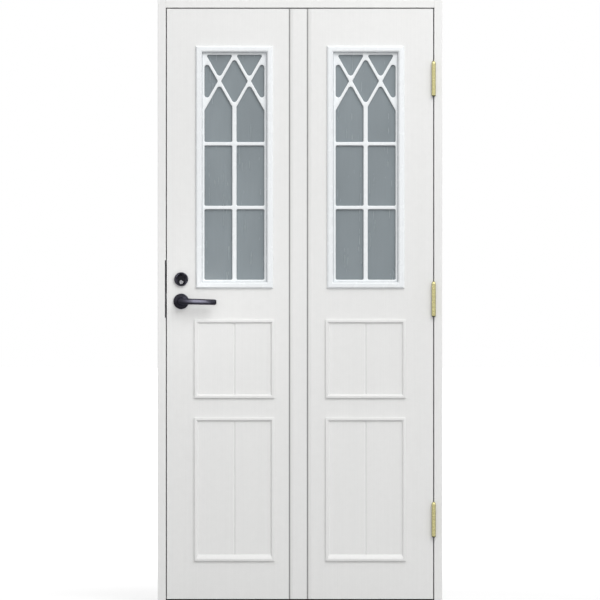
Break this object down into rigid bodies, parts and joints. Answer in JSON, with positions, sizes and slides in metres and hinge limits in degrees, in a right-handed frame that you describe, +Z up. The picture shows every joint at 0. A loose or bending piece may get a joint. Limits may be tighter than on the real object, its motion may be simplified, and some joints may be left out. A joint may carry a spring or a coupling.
{
  "type": "front door",
  "caption": "Outward-opening white front door in its frame: two lattice windows over moulded panels, centre board grooves, brass lift-off hinges, black lever handle and lock.",
  "frame": {"origin": "middle of the threshold's underside, half way through the frame's depth", "axes": "+X to the right as seen from outside, towards the hinges; +Y into the building; +Z up. The outer face looks along -Y."},
  "size_m": [0.99, 0.163, 2.1],
  "materials": {
    "frame_paint": "satin white paint on wood",
    "oak": "oiled oak",
    "aluminium": "brushed, clear anodised",
    "rubber": "soft pale grey seal",
    "dark_steel": "dark oxidised steel",
    "bright_steel": "zinc plated steel",
    "brass": "plated pale brass",
    "leaf_paint": "satin white paint on fibreboard",
    "leaf_wood": "softwood, white paint on the edges",
    "foam": "cut foam",
    "white_plastic": "white moulded plastic",
    "glass": "obscured, grey-blue",
    "black_metal": "black coated metal",
    "cylinder_brass": "nickel plated"
  },
  "bodies": {
    "frame": {"frame_head": "frame_paint", "frame_jamb_lock": "frame_paint", "frame_jamb_hinge": "frame_paint", "threshold": "oak", "threshold_cover": "aluminium", "frame_seal": "rubber", "strike_plate": "dark_steel", "strike_screws": "dark_steel", "hinge_frame_half_top": "brass", "hinge_frame_half_middle": "brass", "hinge_frame_half_bottom": "brass", "hinge_pins": "brass", "hinge_screws_frame": "brass"},
    "leaf": {"glass_spacer_left": "aluminium", "glass_spacer_right": "aluminium", "lock_case": "bright_steel", "forend_screws": "bright_steel", "hinge_leaf_half_top": "brass", "hinge_leaf_half_middle": "brass", "hinge_leaf_half_bottom": "brass", "hinge_screws_leaf": "brass", "outer_skin": "leaf_paint", "inner_skin": "leaf_paint", "moulding_upper_left": "leaf_paint", "moulding_upper_left_inside": "leaf_paint", "moulding_upper_right": "leaf_paint", "moulding_upper_right_inside": "leaf_paint", "moulding_lower_left": "leaf_paint", "moulding_lower_left_inside": "leaf_paint", "moulding_lower_right": "leaf_paint", "moulding_lower_right_inside": "leaf_paint", "stile_lock": "leaf_wood", "stile_hinge": "leaf_wood", "rail_top": "leaf_wood", "rail_bottom": "leaf_wood", "insulation_core": "foam", "glazing_frame_outside_left": "white_plastic", "glazing_frame_outside_right": "white_plastic", "glazing_frame_inside_left": "white_plastic", "glazing_frame_inside_right": "white_plastic", "lattice_left": "white_plastic", "lattice_right": "white_plastic", "glass_outer_left": "glass", "glass_outer_right": "glass", "glass_inner_left": "glass", "glass_inner_right": "glass", "rose_outside": "black_metal", "rose_inside": "black_metal", "cylinder_ring": "black_metal", "thumbturn_rose": "black_metal", "cylinder_body": "cylinder_brass"},
    "lever": {"lever_outside": "black_metal", "lever_inside": "black_metal", "spindle": "dark_steel", "latch_follower": "dark_steel"},
    "latch": {"latch_bolt": "bright_steel"},
    "turn": {"thumbturn": "black_metal", "bolt_cam": "dark_steel", "key_plug": "cylinder_brass"},
    "bolt": {"deadbolt": "bright_steel"}
  },
  "joints": [
    {"name": "leaf_swing", "type": "hinge", "parent": "frame", "child": "leaf", "pos_m": [0.46525, -0.06625, 1.057], "axis": [0, 0, 1], "range_deg": [0, 120]},
    {"name": "lever_turn", "type": "hinge", "parent": "leaf", "child": "lever", "pos_m": [-0.4135, -0.0265, 1.05], "axis": [0, 1, 0], "range_deg": [0, 40], "stiffness_Nm_per_rad": 1, "springref_deg": -45.84},
    {"name": "latch_slide", "type": "slide", "parent": "leaf", "child": "latch", "axis": [1, 0, 0], "range_m": [0, 0.0115]},
    {"name": "thumbturn_turn", "type": "hinge", "parent": "leaf", "child": "turn", "pos_m": [-0.4135, -0.0265, 1.117], "axis": [0, -1, 0], "range_deg": [0, 90]},
    {"name": "deadbolt_slide", "type": "slide", "parent": "leaf", "child": "bolt", "axis": [-1, 0, 0], "range_m": [0, 0.02]}
  ],
  "couplings": [
    {"joint": "latch_slide", "follows": "lever_turn", "m_per_rad": 0.016472},
    {"joint": "thumbturn_turn", "follows": "deadbolt_slide", "rad_per_m": 78.54}
  ]
}
